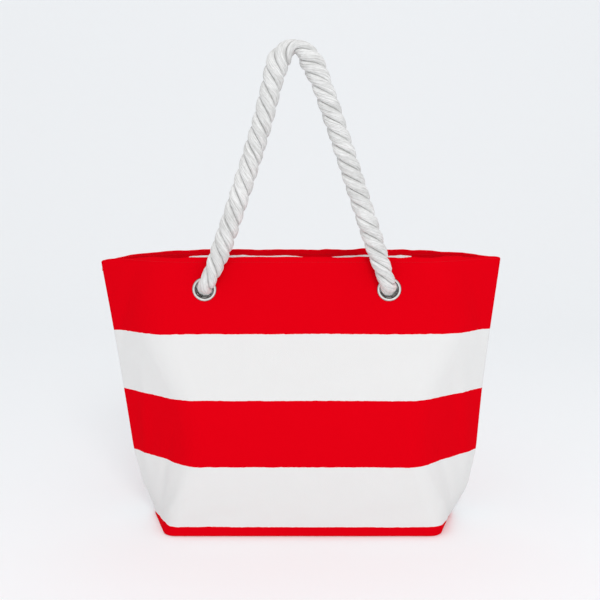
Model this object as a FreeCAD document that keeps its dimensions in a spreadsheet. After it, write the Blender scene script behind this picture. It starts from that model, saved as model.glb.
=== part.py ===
"""Canvas beach bag with two rope handles.

Frame: millimetres, +Z up, the bag's base on z = 0, its side seams on the plane y = 0 and its
front towards -Y. The front handle stands up and the back handle hangs down behind the bag.
"""
import FreeCAD, Part
import math
import os

import Sketcher

V = FreeCAD.Vector

# Sizes: alias, value in mm or how it follows from the others, what it is.
SIZES = [
    ("bag_height", 350, "rim above the table"),
    ("base_flat_width", 505, "front cloth, seam to seam, at the base"),
    ("rim_flat_width", 536, "front cloth, seam to seam, at the rim"),
    ("base_depth", 152, "boxed base, front to back"),
    ("mouth_gap", 96, "open mouth, front to back"),
    ("base_corner", 16, "plan radius of the base's corners"),
    ("rim_corner", 90, "plan radius where the rim turns to the side seams"),
    ("canvas_wall", 1.2, "outer cloth"),
    ("lining_wall", 0.4, "inner cloth"),
    ("cloth_gap", 0.2, "air between two layers of cloth"),
    ("hem_drop", 8, "canvas turned in at the rim"),
    ("board_thick", 2.5, "base stiffener"),
    ("board_gap", 1.5, "base stiffener to canvas, all round"),
    ("eyelet_spacing", 228, "between the two eyelets of one side"),
    ("eyelet_shift", 4, "a side's eyelets, both, to the left as one faces that side"),
    ("eyelet_drop", 40, "eyelet centre below the rim"),
    ("rope_radius", 11, "three-strand cotton rope"),
    ("rope_gap", 0.2, "rope to its eyelet's bore"),
    ("barrel_wall", 0.8, "eyelet barrel"),
    ("flange_width", 3, "eyelet flange beyond its barrel"),
    ("eyelet_bore", "=rope_radius + rope_gap", "radius of the hole through an eyelet"),
    ("eyelet_barrel", "=eyelet_bore + barrel_wall", "outer radius of an eyelet's barrel"),
    ("eyelet_flange", "=eyelet_barrel + flange_width", "outer radius of an eyelet's flange"),
    ("flange_thick", 1.6, "eyelet flange"),
    ("flange_round", 1.1, "rounding of the flange's outer edge"),
    ("hole_gap", 0.2, "eyelet barrel to cloth and washer"),
    ("washer_thick", 1.0, "ring clinched on behind an eyelet"),
    ("clinch", 0.8, "barrel proud of its washer"),
    ("cloth_stack", "=canvas_wall + cloth_gap + lining_wall", "both layers, outer to inner face"),
    ("barrel_reach", "=cloth_stack + washer_thick + clinch", "a barrel's inner end, from outside"),
    ("swing_gap", 0.5, "rope that swings to the eyelet it comes out of"),
    ("knot_reach", 34, "stopper knot, half its width and height"),
    ("knot_gap", 3.4, "stopper knot to the bag's middle plane"),
    ("knot_half_thick", "=(mouth_gap / 2 - barrel_reach - knot_gap) / 2", "half a knot's thickness"),
    ("knot_drop", 20, "knot's middle below its eyelet"),
    ("tail_shift", 12, "rope tail beside its eyelet, towards the side seam"),
    ("tail_length", 66, "rope tail's end below the knot's middle"),
    ("tape_length", 18, "tape round a rope's end"),
    ("tape_wall", 0.6, "tape"),
]

# How the bag stands: share of its height, how far the side seam is drawn in, and how deep the bag
# is there as a share of the base's depth. None is where the mouth's own depth holds. A deeper bag
# draws its seams in by the square of the depth, so the first is a share of half depth squared
# over a quarter of the girth, and the corners stay where they are.
STATIONS = [
    (0.000, 2.562, 1.00),
    (0.035, 2.331, 1.00),
    (0.120, 1.714, 1.00),
    (0.260, 1.276, 1.00),
    (0.400, 1.226, 0.98),
    (0.500, 1.299, 0.92),
    (0.620, 1.610, 0.78),
    (0.750, 2.074, None),
    (1.000, 1.282, None),
]

# A rope's route outside the bag, from the left eyelet to the right one: across from the middle
# between them, outward from the line on which it swings, and up from it. The front rope is held
# up over a peg.
UPRIGHT_ROUTE = [
    (-114.0, 0.0, 0.0),
    (-94.5, 0.0, 39.0),
    (-43.5, 0.0, 189.0),
    (-29.0, 0.0, 246.0),
    (-21.0, 0.0, 277.0),
    (-2.0, 0.0, 288.0),
    (14.5, 0.0, 278.0),
    (28.5, 0.0, 250.0),
    (53.5, 0.0, 178.0),
    (100.5, 0.0, 38.0),
    (114.0, 0.0, 0.0),
]
# The back rope hangs and leans on the cloth.
HANGING_ROUTE = [
    (-114.0, 0.0, 0.0),
    (-119.0, 1.0, -45.0),
    (-121.0, 17.0, -96.0),
    (-113.0, 26.0, -148.0),
    (-90.0, 29.5, -198.0),
    (-50.0, 30.5, -235.0),
    (1.0, 31.0, -248.0),
    (51.0, 30.5, -233.0),
    (92.0, 29.0, -197.0),
    (114.0, 25.5, -147.0),
    (121.0, 16.5, -95.0),
    (119.0, 1.0, -45.0),
    (114.0, 0.0, 0.0),
]
ARC_SHARE = 0.45  # of the shorter run, taken up by an arc between two runs
ROUTE_SPACING = 228.0  # eyelet spacing that the two routes are laid out for

doc = FreeCAD.newDocument("beach_bag")
sheet = doc.addObject("Spreadsheet::Sheet", "Sizes")
for row, (alias, value, meaning) in enumerate(SIZES, start=1):
    sheet.set(f"A{row}", meaning)
    sheet.set(f"B{row}", str(value))
    sheet.setAlias(f"B{row}", alias)
doc.recompute()

sub_parts = []


def size(alias):
    """The sheet's value, in mm."""
    return float(sheet.get(alias))


def bind(item, **expressions):
    """Ties an object's properties to cells of the sheet, named in words."""
    for prop, expression in expressions.items():
        for alias, _, _ in SIZES:
            expression = expression.replace(f"<{alias}>", f"Sizes.{alias}")
        item.setExpression(prop, expression)


def finished(item, label):
    """Names a sub-part after its file and keeps it for the export."""
    item.Label = label
    sub_parts.append(item)
    return item


# ---------------------------------------------------------------- the bag's shape


def station_outline(share, drawn_in, deep):
    """Half span at the side seam, half depth, corner place and corner radius of the outer cloth."""
    quarter = (size("base_flat_width") * (1 - share) + size("rim_flat_width") * share) / 2
    half_depth = (size("mouth_gap") if deep is None else deep * size("base_depth")) / 2
    half_span = quarter - drawn_in * half_depth**2 / quarter
    # The cloth from the middle to the corner and on to the seam is one quarter long.
    corner = (quarter**2 - half_span**2 - half_depth**2) / (2 * (quarter - half_span))
    radius = size("base_corner") * (1 - share) + size("rim_corner") * share
    return half_span, half_depth, corner, radius


def station_points(station, inset):
    """A station's flat end, middle and end of its corner, and seam, all drawn in by inset."""
    half_span, half_depth, corner, radius = station_outline(*station)
    level = station[0] * size("bag_height")
    length = math.hypot(half_span - corner, half_depth)
    along = V((half_span - corner) / length, half_depth / length, 0)
    inward = V(-along.y, along.x, 0)
    on_side = V(corner, -half_depth, level) + inward * inset
    front = -half_depth + inset
    bend = on_side + along * ((front - on_side.y) / along.y)
    seam = on_side + along * (-on_side.y / along.y)
    turn = math.atan2(along.y, along.x)
    reach = (radius - inset) * math.tan(turn / 2)
    middle_reach = (radius - inset) * (1 / math.cos(turn / 2) - 1)
    towards_centre = (along - V(1, 0, 0)).normalize()
    return [
        V(bend.x - reach, front, level),
        bend + towards_centre * middle_reach,
        bend + along * reach,
        seam,
    ]


def half_path(level, inset):
    """The points of the front half's right side at a level, straight between two stations."""
    share = level / size("bag_height")
    for low, high in zip(STATIONS, STATIONS[1:]):
        if share <= high[0] or high is STATIONS[-1]:
            part = (share - low[0]) / (high[0] - low[0])
            pairs = zip(station_points(low, inset), station_points(high, inset))
            return [a + (b - a) * part for a, b in pairs]


def half_edges(level, inset, mirror_y):
    """Five edges from the left seam round the front (or back) to the right seam."""
    flat_end, arc_middle, arc_end, seam = half_path(level, inset)
    flip = -1 if mirror_y else 1

    def at(point, side):
        return V(side * point.x, flip * point.y, point.z)

    return [
        Part.makeLine(at(seam, -1), at(arc_end, -1)),
        Part.Arc(at(arc_end, -1), at(arc_middle, -1), at(flat_end, -1)).toShape(),
        Part.makeLine(at(flat_end, -1), at(flat_end, 1)),
        Part.Arc(at(flat_end, 1), at(arc_middle, 1), at(arc_end, 1)).toShape(),
        Part.makeLine(at(arc_end, 1), at(seam, 1)),
    ]


def wall_shape(low, high, outer_inset, inner_inset, mirror_y):
    """A standing half shell of cloth between two levels, from one side seam to the other."""
    stations = [share * size("bag_height") for share, _, _ in STATIONS]
    levels = [low] + [z for z in stations if low < z < high] + [high]
    rings = []
    for level in levels:
        outside = half_edges(level, outer_inset, mirror_y)
        inside = half_edges(level, inner_inset, mirror_y)
        ends = [
            Part.makeLine(outside[-1].lastVertex().Point, inside[-1].lastVertex().Point),
            Part.makeLine(inside[0].firstVertex().Point, outside[0].firstVertex().Point),
        ]
        rings.append(Part.Wire(Part.__sortEdges__(outside + inside + ends)))
    return Part.makeLoft(rings, True, True)


def eyelet_x(side, outward):
    """An eyelet's place across: the back is the front turned round, so it shifts the other way."""
    return side * size("eyelet_spacing") / 2 + outward * size("eyelet_shift")


def wall(label, low, high, outer_inset, inner_inset, mirror_y):
    """A wall of cloth, with the eyelets' holes cut through it where it reaches them."""
    cloth = doc.addObject("Part::Feature", f"{label}_cloth")
    cloth.Shape = wall_shape(low, high, outer_inset, inner_inset, mirror_y)
    eyelet_level = size("bag_height") - size("eyelet_drop")
    if not low < eyelet_level < high:
        return finished(cloth, label)
    bores = []
    for side in (-1, 1):
        bore = doc.addObject("Part::Cylinder", f"{label}_bore")
        bind(bore, Radius="<eyelet_barrel> + <hole_gap>", Height="<mouth_gap> / 2")
        outward = 1 if mirror_y else -1
        start = V(eyelet_x(side, outward), outward * size("mouth_gap") / 4, eyelet_level)
        bore.Placement = FreeCAD.Placement(start, FreeCAD.Rotation(V(0, 0, 1), V(0, outward, 0)))
        bores.append(bore)
    holed = doc.addObject("Part::Cut", f"{label}_with_holes")
    both = doc.addObject("Part::MultiFuse", f"{label}_bores")
    both.Shapes = bores
    holed.Base = cloth
    holed.Tool = both
    return finished(holed, label)


# ---------------------------------------------------------------- bodies made from sketches


def origin_plane(body, role):
    """One of a body's own origin planes."""
    return next(item for item in body.Origin.OriginFeatures if item.Role == role)


def sketch_on_base(body, name):
    """An empty sketch on the body's own XY plane."""
    sketch = body.newObject("Sketcher::SketchObject", name)
    sketch.AttachmentSupport = (origin_plane(body, "XY_Plane"), [""])
    sketch.MapMode = "FlatFace"
    return sketch


def ring_sketch(body, name, *radii):
    """Circles round the body's axis, each radius tied to an expression on the sheet."""
    sketch = sketch_on_base(body, name)
    for rank, radius in enumerate(radii):
        circle = sketch.addGeometry(Part.Circle(V(), V(0, 0, 1), 10 + rank))
        sketch.addConstraint(Sketcher.Constraint("Coincident", circle, 3, -1, 1))
        held = sketch.addConstraint(Sketcher.Constraint("Radius", circle, 10 + rank))
        bind(sketch, **{f"Constraints[{held}]": radius})
    return sketch


def pad(body, sketch, length, reverse=False):
    """Thickens a sketch by an expression on the sheet."""
    feature = body.newObject("PartDesign::Pad", "Pad")
    feature.Profile = sketch
    feature.Reversed = reverse
    bind(feature, Length=length)
    return feature


def base_outline(inset):
    """The base's seam place, corner place and half depth, drawn in by inset, as expressions."""
    quarter = "(<base_flat_width> / 2)"
    depth = "(<base_depth> / 2)"
    seam = f"({quarter} - {STATIONS[0][1]} * {depth}^2 / {quarter})"
    corner = f"(({quarter}^2 - {seam}^2 - {depth}^2) / (2 * ({quarter} - {seam})))"
    inner_seam = f"({seam} - ({inset}) * ({quarter} - {corner}) / {depth})"
    inner_corner = f"({inner_seam} - ({seam} - {corner}) * ({depth} - ({inset})) / {depth})"
    return inner_seam, inner_corner, f"({depth} - ({inset}))"


def plate(label, inset, thick, radius, level):
    """A flat plate of the base, drawn in by an inset, all sizes as expressions, lying at a level."""
    body = doc.addObject("PartDesign::Body", label)
    sketch = sketch_on_base(body, f"{label}_outline")
    seam, corner, depth = base_outline(inset)
    places = [
        (-18, -8, f"-{corner}", f"-{depth}"),
        (18, -8, corner, f"-{depth}"),
        (20, 0, seam, "0"),
        (18, 8, corner, depth),
        (-18, 8, f"-{corner}", depth),
        (-20, 0, f"-{seam}", "0"),
    ]
    drawn = [V(x, y, 0) for x, y, _, _ in places]
    for start, end in zip(drawn, drawn[1:] + drawn[:1]):
        sketch.addGeometry(Part.LineSegment(start, end))
    for line in range(len(places)):
        after = (line + 1) % len(places)
        sketch.addConstraint(Sketcher.Constraint("Coincident", line, 2, after, 1))
    for line, (x, y, across, deep) in enumerate(places):
        held = sketch.addConstraint(Sketcher.Constraint("DistanceX", -1, 1, line, 1, x))
        bind(sketch, **{f"Constraints[{held}]": across})
        if deep == "0":
            sketch.addConstraint(Sketcher.Constraint("PointOnObject", line, 1, -1))
            continue
        held = sketch.addConstraint(Sketcher.Constraint("DistanceY", -1, 1, line, 1, y))
        bind(sketch, **{f"Constraints[{held}]": deep})
    slab = pad(body, sketch, thick)
    doc.recompute()
    fillet = body.newObject("PartDesign::Fillet", "Corners")
    upright = [
        f"Edge{number}"
        for number, edge in enumerate(slab.Shape.Edges, start=1)
        if abs(edge.tangentAt(edge.FirstParameter).z) > 0.9 and abs(edge.Vertexes[0].Y) > 1
    ]
    fillet.Base = (slab, upright)
    bind(fillet, Radius=radius)
    bind(body, **{".Placement.Base.z": f"({level}) * 1 mm"})
    return finished(body, label)


def facing_out(x, inset, outward):
    """The place of a piece whose own +Z points out of the bag's front (-1) or back (1) wall."""
    y = outward * (size("mouth_gap") / 2 - inset)
    place = V(x, y, size("bag_height") - size("eyelet_drop"))
    return FreeCAD.Placement(place, FreeCAD.Rotation(V(0, 0, 1), V(0, outward, 0)))


def eyelet(label, x, outward):
    """A flanged barrel set in the wall from outside."""
    body = doc.addObject("PartDesign::Body", label)
    flange = ring_sketch(body, f"{label}_flange", "<eyelet_flange>", "<eyelet_bore>")
    pad(body, flange, "<flange_thick>")
    barrel = ring_sketch(body, f"{label}_barrel", "<eyelet_barrel>", "<eyelet_bore>")
    solid = pad(body, barrel, "<barrel_reach>", reverse=True)
    doc.recompute()
    fillet = body.newObject("PartDesign::Fillet", "Rolled_edge")
    outer_edge = [
        f"Edge{number}"
        for number, edge in enumerate(solid.Shape.Edges, start=1)
        if hasattr(edge.Curve, "Radius")
        and abs(edge.Curve.Radius - size("eyelet_flange")) < 0.01
        and edge.Vertexes[0].Z > size("flange_thick") / 2
    ]
    fillet.Base = (solid, outer_edge)
    bind(fillet, Radius="<flange_round>")
    body.Placement = facing_out(x, 0, outward)
    return finished(body, label)


def washer(label, x, outward):
    """The ring behind the lining that the barrel is clinched over."""
    body = doc.addObject("PartDesign::Body", label)
    ring = ring_sketch(body, f"{label}_ring", "<eyelet_flange>", "<eyelet_barrel> + <hole_gap>")
    pad(body, ring, "<washer_thick>", reverse=True)
    body.Placement = facing_out(x, size("cloth_stack"), outward)
    return finished(body, label)


# ---------------------------------------------------------------- rope


def swing_offset():
    """The line on which a rope swings, outward from the wall's outer face."""
    return size("flange_thick") + size("swing_gap") + size("rope_radius")


def route_points(route, outward):
    """A route's points in the bag's frame, spread to the real eyelet spacing."""
    spread = size("eyelet_spacing") / ROUTE_SPACING
    y = size("mouth_gap") / 2 + swing_offset()
    z = size("bag_height") - size("eyelet_drop")
    middle = outward * size("eyelet_shift")
    return [V(middle + x * spread, outward * (y + out), z + up) for x, out, up in route]


def rounded_path(points):
    """Straight runs joined by tangent arcs, as a wire, with the arcs' radii."""
    edges, radii = [], []
    begin = points[0]
    for before, corner, after in zip(points, points[1:], points[2:]):
        shorter = min((corner - before).Length, (after - corner).Length)
        arriving = (corner - before).normalize()
        leaving = (after - corner).normalize()
        half_turn = arriving.getAngle(leaving) / 2
        reach = ARC_SHARE * shorter
        radius = reach / math.tan(half_turn)
        inside = (leaving - arriving).normalize()
        middle = corner + inside * (radius / math.cos(half_turn) - radius)
        start = corner - arriving * reach
        end = corner + leaving * reach
        edges += [Part.makeLine(begin, start), Part.Arc(start, middle, end).toShape()]
        radii.append(radius)
        begin = end
    edges.append(Part.makeLine(begin, points[-1]))
    return Part.Wire(edges), radii


def rope_loop(label, route, outward):
    """The rope outside the bag, which swings on its two round ends."""
    points = route_points(route, outward)
    path, radii = rounded_path(points)
    radius = size("rope_radius")
    section = Part.Wire(Part.makeCircle(radius, points[0], points[1] - points[0]))
    tube = path.makePipeShell([section], True, False)
    expected = path.Length * math.pi * radius**2
    print(f"{label}: {path.Length:.0f} mm long, volume {tube.Volume / expected:.3f} of section x length")
    print(f"{label}: arc radii {', '.join(f'{r:.0f}' for r in radii)} mm")
    ends = [Part.makeSphere(radius, points[0]), Part.makeSphere(radius, points[-1])]
    loop = doc.addObject("Part::Feature", label)
    loop.Shape = tube.fuse(ends).removeSplitter()
    return finished(loop, label)


def rope_end(label, x, outward):
    """The rope through an eyelet with its stopper knot and tail, and the tape round the tail."""
    level = size("bag_height") - size("eyelet_drop")
    outward_turn = FreeCAD.Rotation(V(0, 0, 1), V(0, outward, 0))
    knot_y = outward * (size("mouth_gap") / 2 - size("barrel_reach") - size("knot_half_thick"))
    knot_z = level - size("knot_drop")
    tail_x = x + math.copysign(size("tail_shift"), x)

    throat = doc.addObject("Part::Cylinder", f"{label}_throat")
    bind(throat, Radius="<rope_radius>", Height="<flange_thick> + <barrel_reach> + <knot_half_thick>")
    throat.Placement = FreeCAD.Placement(V(x, knot_y, level), outward_turn)
    bulk = doc.addObject("Part::Ellipsoid", f"{label}_bulk")
    bind(bulk, Radius1="<knot_half_thick>", Radius2="<knot_reach>", Radius3="<knot_reach>")
    bulk.Placement = FreeCAD.Placement(V(x, knot_y, knot_z), outward_turn)
    tail = doc.addObject("Part::Cylinder", f"{label}_tail")
    bind(tail, Radius="<rope_radius>", Height="<tail_length>")
    downward = FreeCAD.Rotation(V(0, 0, 1), V(0, 0, -1))
    tail.Placement = FreeCAD.Placement(V(tail_x, knot_y, knot_z), downward)
    whole = doc.addObject("Part::MultiFuse", f"{label}_rope")
    whole.Shapes = [throat, bulk, tail]
    finished(whole, f"{label}_knot")

    sleeve = doc.addObject("PartDesign::Body", f"{label}_sleeve")
    ring = ring_sketch(sleeve, f"{label}_ring", "<rope_radius> + <tape_wall>", "<rope_radius>")
    pad(sleeve, ring, "<tape_length>")
    end = V(tail_x, knot_y, knot_z - size("tail_length"))
    sleeve.Placement = FreeCAD.Placement(end, FreeCAD.Rotation())
    return finished(sleeve, f"{label}_tape")


# ---------------------------------------------------------------- the bag, from the base up

INSIDE_WALLS = "<canvas_wall> + <board_gap>"
plate("base_canvas", "0", "<canvas_wall>", "<base_corner>", "0")
for name, thick, level in (
    ("base_board", "<board_thick>", "<canvas_wall>"),
    ("base_lining", "<lining_wall>", "<canvas_wall> + <board_thick>"),
):
    plate(name, INSIDE_WALLS, thick, f"<base_corner> - ({INSIDE_WALLS})", level)

rim = size("bag_height")
hem_start = rim - size("hem_drop")
lining_start = size("canvas_wall") + size("board_thick") + size("lining_wall")
behind_canvas = size("canvas_wall") + size("cloth_gap")
behind_hem = behind_canvas + size("canvas_wall")
for name, outward in (("front", -1), ("back", 1)):
    is_back = outward == 1
    wall(f"{name}_canvas", size("canvas_wall"), rim, 0, size("canvas_wall"), is_back)
    wall(f"{name}_hem", hem_start, rim, behind_canvas, behind_hem, is_back)
    wall(f"{name}_lining", lining_start, hem_start, behind_canvas, size("cloth_stack"), is_back)
    for side_name, side in (("left", -1), ("right", 1)):
        x = eyelet_x(side, outward)
        eyelet(f"{name}_{side_name}_eyelet", x, outward)
        washer(f"{name}_{side_name}_washer", x, outward)
        rope_end(f"{name}_{side_name}", x, outward)
rope_loop("front_rope", UPRIGHT_ROUTE, -1)
rope_loop("back_rope", HANGING_ROUTE, 1)

# ---------------------------------------------------------------- checks and export

doc.recompute()
failed = [item.Name for item in doc.Objects if {"Invalid", "Error"} & set(item.State)]
if failed:
    raise RuntimeError(f"these objects failed to build: {failed}")
for item in sub_parts:
    shape = item.Shape
    if shape.isNull() or not shape.isValid() or len(shape.Solids) != 1:
        raise RuntimeError(f"{item.Label} isn't one valid solid")
os.makedirs("parts", exist_ok=True)
for item in sub_parts:
    item.Shape.exportStep(f"parts/{item.Label}.step")
    box = item.Shape.BoundBox
    print(
        f"{item.Label}: x {box.XMin:.1f} to {box.XMax:.1f}, y {box.YMin:.1f} to {box.YMax:.1f}, "
        f"z {box.ZMin:.1f} to {box.ZMax:.1f}, volume {item.Shape.Volume:.0f}"
    )
print(f"{len(sub_parts)} sub-parts")
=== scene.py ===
# %% [markdown]
# # A canvas beach bag with rope handles
#
# The bag stands on a boxed base. Its front and back are sheets of striped canvas, turned in
# at the rim. Two thick ropes of three twisted strands come out of nickel eyelets; each is held
# by a knot inside. The front rope stands up, as if a peg held it, and the back rope hangs down.
#
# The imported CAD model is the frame. It says where each piece is, and how far the ropes swing.

import math

import bmesh
import bpy
import numpy as np
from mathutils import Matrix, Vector, noise


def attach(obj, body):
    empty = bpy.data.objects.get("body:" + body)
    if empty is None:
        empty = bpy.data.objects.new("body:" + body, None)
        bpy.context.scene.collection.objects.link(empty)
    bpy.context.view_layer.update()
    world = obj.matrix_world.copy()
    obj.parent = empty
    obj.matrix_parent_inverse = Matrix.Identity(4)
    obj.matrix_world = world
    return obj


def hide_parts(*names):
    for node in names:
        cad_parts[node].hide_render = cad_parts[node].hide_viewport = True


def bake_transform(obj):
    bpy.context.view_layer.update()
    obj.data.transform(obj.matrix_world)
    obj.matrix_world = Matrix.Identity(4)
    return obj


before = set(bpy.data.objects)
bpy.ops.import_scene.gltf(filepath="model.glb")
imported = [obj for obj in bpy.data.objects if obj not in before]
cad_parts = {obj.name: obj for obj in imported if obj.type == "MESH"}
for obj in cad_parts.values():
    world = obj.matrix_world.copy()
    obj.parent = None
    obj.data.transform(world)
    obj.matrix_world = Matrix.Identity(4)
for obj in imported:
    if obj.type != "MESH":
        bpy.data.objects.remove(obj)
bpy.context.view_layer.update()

# %% [markdown]
# ## Camera
#
# The camera looks straight at the front, from a little above the rim, so that a narrow strip
# of the back's inside shows behind the front's rim. A longer lens from further back would
# flatten the bag; this one keeps the base corners' slant as a person at a table sees it.

# %% Put up the camera
scene = bpy.context.scene
camera = bpy.data.objects.new("camera", bpy.data.cameras.new("camera"))
camera.data.lens = 53.16
camera.location = (0, -1.129, 0.4686)
camera.rotation_euler = (math.radians(80.96), 0, 0)
scene.collection.objects.link(camera)
scene.camera = camera
scene.view_settings.view_transform = "Standard"
print("camera at", tuple(camera.location))

# %% [markdown]
# ## The ropes' lines
#
# A rope is first a line. Its points are those of the CAD route, and a NURBS curve makes one
# smooth line of them, which is what a soft rope does by itself. Bending the line point by point
# would show corners. Each route says how far across, outward and up a point is from the line
# on which the rope swings. One more point at each end leads the rope back through its eyelet.

# %% Draw a smooth line through a route
MM = 0.001
ROPE_RADIUS = 11 * MM
EYELET_X = 114 * MM  # from the middle between a side's two eyelets
EYELET_SHIFT = 4 * MM  # both eyelets of a side, to the left as one faces it
EYELET_Z = 310 * MM
RIM_Y = 48 * MM
SWING_Y = 61.1 * MM


def smooth_line(name, points):
    """The points that a NURBS curve passes on its way along these control points."""
    curve = bpy.data.curves.new(name, "CURVE")
    curve.dimensions = "3D"
    curve.resolution_u = 24
    spline = curve.splines.new("NURBS")
    spline.points.add(len(points) - 1)
    for point, place in zip(spline.points, points):
        point.co = (*place, 1)
    spline.order_u = 3
    spline.use_endpoint_u = True
    holder = bpy.data.objects.new(name, curve)
    scene.collection.objects.link(holder)
    bpy.context.view_layer.update()
    mesh = bpy.data.meshes.new_from_object(holder.evaluated_get(bpy.context.evaluated_depsgraph_get()))
    line = np.array([vertex.co for vertex in mesh.vertices])
    bpy.data.objects.remove(holder)
    bpy.data.meshes.remove(mesh)
    return line


def even_steps(line, step):
    """The same line with its points a step apart."""
    run = np.concatenate([[0], np.cumsum(np.linalg.norm(np.diff(line, axis=0), axis=1))])
    marks = np.linspace(0, run[-1], max(4, round(run[-1] / step)))
    return np.stack([np.interp(marks, run, line[:, axis]) for axis in range(3)], axis=1)


UPRIGHT_ROUTE = [
    (-114, -34, 0),
    (-114, 0, 0),
    (-94.5, 0, 39),
    (-43.5, 0, 189),
    (-29, 0, 246),
    (-21, 0, 277),
    (-2, 0, 288),
    (14.5, 0, 278),
    (28.5, 0, 250),
    (53.5, 0, 178),
    (100.5, 0, 38),
    (114, 0, 0),
    (114, -34, 0),
]
HANGING_ROUTE = [
    (-114, -34, 0),
    (-114, 0, 0),
    (-119, 1, -45),
    (-121, 17, -96),
    (-113, 26, -148),
    (-90, 29.5, -198),
    (-50, 30.5, -235),
    (1, 31, -248),
    (51, 30.5, -233),
    (92, 29, -197),
    (114, 25.5, -147),
    (121, 16.5, -95),
    (119, 1, -45),
    (114, 0, 0),
    (114, -34, 0),
]
THROAT_Y = 40 * MM  # the loop is drawn from here on, inside its eyelets


def rope_line(name, route, outward):
    """A rope's line from one eyelet's throat to the other's."""
    middle = outward * EYELET_SHIFT
    points = [(middle + x * MM, outward * (SWING_Y + out * MM), EYELET_Z + up * MM) for x, out, up in route]
    line = even_steps(smooth_line(name, points), 1.6 * MM)
    return line[np.abs(line[:, 1]) > THROAT_Y]


front_line = rope_line("front_rope_line", UPRIGHT_ROUTE, -1)
back_line = rope_line("back_rope_line", HANGING_ROUTE, 1)
for line in (front_line, back_line):
    length = np.linalg.norm(np.diff(line, axis=0), axis=1).sum()
    print(f"rope line {length:.3f} m, {len(line)} points")

# %% [markdown]
# ## Twisted rope
#
# Three plump strands turn round each other. Each could be a tube on its own helix, but soft
# cotton strands press flat where they meet, so one tube with a three-lobed section, turned
# as it goes along the line, is closer and has no hidden faces. The lobes' flanks carry fine
# ridges for the yarns. The section is a little uneven, as loose cotton is.

# %% Build a mesh from rows of points
def add_object(name, mesh):
    """Puts a mesh in the scene as a named object, smooth shaded."""
    mesh.shade_smooth()
    item = bpy.data.objects.new(name, mesh)
    scene.collection.objects.link(item)
    return item


def grid_faces(rows, columns, closed):
    """The faces between rows of points; closed joins each row's end to its start."""
    row, column = np.meshgrid(np.arange(rows - 1), np.arange(columns - (not closed)), indexing="ij")
    after = (column + 1) % columns
    corners = [row * columns + column, row * columns + after]
    corners += [(row + 1) * columns + after, (row + 1) * columns + column]
    return np.stack(corners, axis=-1).reshape(-1, 4)


def lay_out(mesh, name, across, along):
    """Gives each corner of the mesh its place on the flat material, in metres."""
    layer = mesh.uv_layers.new(name=name)
    index = np.empty(len(mesh.loops), dtype=np.int32)
    mesh.loops.foreach_get("vertex_index", index)
    places = np.stack([np.ravel(across)[index], np.ravel(along)[index]], axis=1)
    layer.data.foreach_set("uv", places.astype(np.float32).ravel())


def turning_frames(line):
    """A normal and a binormal at each point, carried along the line without twist."""
    ahead = np.gradient(line, axis=0)
    ahead /= np.linalg.norm(ahead, axis=1, keepdims=True)
    start = Vector(ahead[0]).orthogonal().normalized()
    normals = [np.array(start)]
    for direction in ahead[1:]:
        carried = normals[-1] - direction * normals[-1].dot(direction)
        normals.append(carried / np.linalg.norm(carried))
    normals = np.array(normals)
    return ahead, normals, np.cross(ahead, normals)


# %% Sweep a three-strand rope along a line
ROPE_PITCH = 54 * MM
SIDES_PER_STRAND = 42
YARNS = 7
THROAT_SQUEEZE = 0.19  # an eyelet makes the rope thinner by this share
THROAT_REACH = 48 * MM
CROWN = 1.13  # a strand's crown stands further out than the rope's mean radius
THIRD = 2 * math.pi / 3  # of a turn, from one strand to the next


def from_crown(turn):
    """0 on a strand's crown, 1 in the groove between two strands."""
    return np.abs((turn + THIRD / 2) % THIRD - THIRD / 2) / (THIRD / 2)


def strand_section(turn, run):
    """The rope's radius round its section, as a share: three lobes with yarns in relief."""
    lobe = 1 - 0.40 * from_crown(turn) ** 3.4
    yarn_turn = (turn % THIRD) / THIRD * YARNS + run / (90 * MM)
    yarns = np.abs(np.sin(math.pi * yarn_turn))
    # Each yarn stands as proud as its own place along the rope makes it.
    proud = 0.6 + 0.4 * np.sin(np.floor(yarn_turn) * 2.3 + turn // THIRD * 1.7 + run / (13 * MM))
    return lobe - 0.075 * proud * (1 - yarns) ** 2.6


def uneven(run, seed, size, period):
    """A slow random change along a rope."""
    return np.array([size * noise.noise((mark / period, seed, 0)) for mark in run])


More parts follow.
